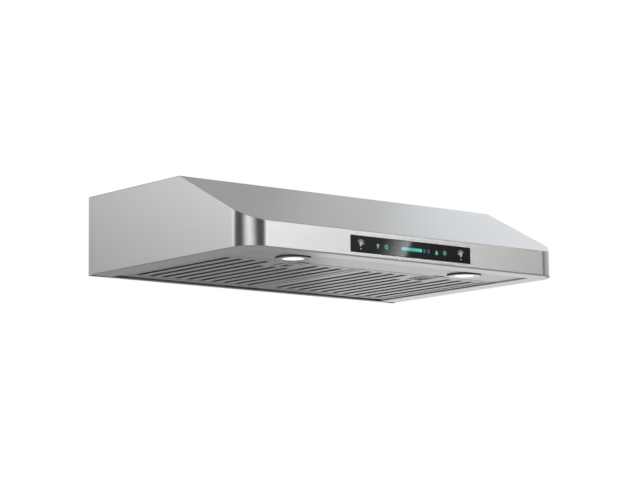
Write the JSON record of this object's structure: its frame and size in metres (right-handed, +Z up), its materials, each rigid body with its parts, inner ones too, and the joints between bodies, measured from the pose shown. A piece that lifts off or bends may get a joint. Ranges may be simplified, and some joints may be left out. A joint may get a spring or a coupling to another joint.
{
  "type": "under cabinet range hood",
  "caption": "Sloped stainless hood that hangs under a cabinet, with tilting baffle filters, lamps, a touch panel, a twin blower and a round duct outlet.",
  "frame": {"origin": "middle of the four cabinet screw holes, on the flat top face that meets the cabinet", "axes": "+Z up towards the cabinet, -Y towards the cook, +Y to the wall, +X to the right as the cook sees it"},
  "size_m": [0.755, 0.4902, 0.171],
  "materials": {
    "stainless_body": "fine brushed",
    "stainless_top": "fine brushed",
    "zinc_sheet": "spangled zinc",
    "filter_steel": "satin",
    "spring_steel": "satin",
    "bright_wire": "polished",
    "chrome_ring": "polished",
    "black_glass": "polished",
    "lamp_lens": "frosted",
    "heat_sink": "cast",
    "black_plastic": "moulded",
    "white_plastic": "moulded",
    "circuit_board": "laminate",
    "sensor_dark": "polished",
    "capacitor_case": "moulded",
    "driver_case": "wound tape",
    "motor_steel": "satin paint",
    "bearing_steel": "ground",
    "wheel_zinc": "zinc plated",
    "lead_jacket": "insulation",
    "screw_steel": "plated",
    "flap_aluminium": "mill"
  },
  "bodies": {
    "hood": {"outer_shell": "stainless_body", "top_panel": "stainless_top", "rear_panel": "zinc_sheet", "light_deck": "stainless_body", "hook_rail": "zinc_sheet", "strike_clips": "spring_steel", "duct_collar": "zinc_sheet", "damper_pin": "screw_steel", "cable_gland": "black_plastic", "junction_box": "zinc_sheet", "control_glass": "black_glass", "touch_housing": "black_plastic", "touch_board": "circuit_board", "gesture_sensors": "sensor_dark", "light_bezel_left": "chrome_ring", "light_bezel_right": "chrome_ring", "light_lens_left": "lamp_lens", "light_lens_right": "lamp_lens", "light_body_left": "heat_sink", "light_body_right": "heat_sink", "electronics_box": "white_plastic", "electronics_lid": "white_plastic", "main_board": "circuit_board", "run_capacitors": "capacitor_case", "led_driver": "driver_case", "blower_floor_plate": "zinc_sheet", "outlet_box": "zinc_sheet", "scroll_left": "zinc_sheet", "scroll_right": "zinc_sheet", "inlet_guards": "black_plastic", "motor_left": "motor_steel", "motor_right": "motor_steel", "motor_mounts": "zinc_sheet", "motor_bearings": "bearing_steel", "wiring_loom": "lead_jacket", "casing_screws": "screw_steel", "collar_screws": "screw_steel"},
    "damper_front": {"damper_flap_front": "flap_aluminium"},
    "damper_rear": {"damper_flap_rear": "flap_aluminium"},
    "fan_left": {"impeller_left": "wheel_zinc", "motor_shaft_left": "bearing_steel"},
    "filter_left": {"filter_frame_left": "filter_steel", "filter_face_left": "filter_steel", "filter_back_left": "filter_steel", "latch_guide_left": "spring_steel", "pivot_rod_left": "screw_steel", "latch_spring_left": "screw_steel"},
    "latch_left": {"latch_bolt_left": "spring_steel"},
    "ring_left": {"pull_ring_left": "bright_wire"},
    "fan_right": {"impeller_right": "wheel_zinc", "motor_shaft_right": "bearing_steel"},
    "filter_right": {"filter_frame_right": "filter_steel", "filter_face_right": "filter_steel", "filter_back_right": "filter_steel", "latch_guide_right": "spring_steel", "pivot_rod_right": "screw_steel", "latch_spring_right": "screw_steel"},
    "latch_right": {"latch_bolt_right": "spring_steel"},
    "ring_right": {"pull_ring_right": "bright_wire"}
  },
  "joints": [
    {"name": "filter_left_tilt", "type": "hinge", "parent": "hood", "child": "filter_left", "pos_m": [-0.166, 0.125, -0.141], "axis": [1, 0, 0], "range_deg": [0, 75], "deforming": ["strike_clips"]},
    {"name": "latch_left_slide", "type": "slide", "parent": "filter_left", "child": "latch_left", "axis": [0, 1, 0], "range_m": [0, 0.007], "stiffness_N_per_m": 400, "springref_m": -0.005, "deforming": ["latch_spring_left"]},
    {"name": "ring_left_swing", "type": "hinge", "parent": "latch_left", "child": "ring_left", "pos_m": [-0.1515, -0.159, -0.1476], "axis": [1, 0, 0], "range_deg": [0, 110]},
    {"name": "fan_left_spin", "type": "hinge", "parent": "hood", "child": "fan_left", "pos_m": [-0.172, -0.005, -0.064], "axis": [0, 0, 1], "continuous": true},
    {"name": "filter_right_tilt", "type": "hinge", "parent": "hood", "child": "filter_right", "pos_m": [0.166, 0.125, -0.141], "axis": [1, 0, 0], "range_deg": [0, 75], "deforming": ["strike_clips"]},
    {"name": "latch_right_slide", "type": "slide", "parent": "filter_right", "child": "latch_right", "axis": [0, 1, 0], "range_m": [0, 0.007], "stiffness_N_per_m": 400, "springref_m": -0.005, "deforming": ["latch_spring_right"]},
    {"name": "ring_right_swing", "type": "hinge", "parent": "latch_right", "child": "ring_right", "pos_m": [0.1805, -0.159, -0.1476], "axis": [1, 0, 0], "range_deg": [0, 110]},
    {"name": "fan_right_spin", "type": "hinge", "parent": "hood", "child": "fan_right", "pos_m": [0.172, -0.005, -0.064], "axis": [0, 0, 1], "continuous": true},
    {"name": "damper_front_swing", "type": "hinge", "parent": "hood", "child": "damper_front", "pos_m": [0, 0.04, 0.008], "axis": [-1, 0, 0], "range_deg": [0, 80]},
    {"name": "damper_rear_swing", "type": "hinge", "parent": "hood", "child": "damper_rear", "pos_m": [0, 0.04, 0.008], "axis": [1, 0, 0], "range_deg": [0, 80]}
  ]
}
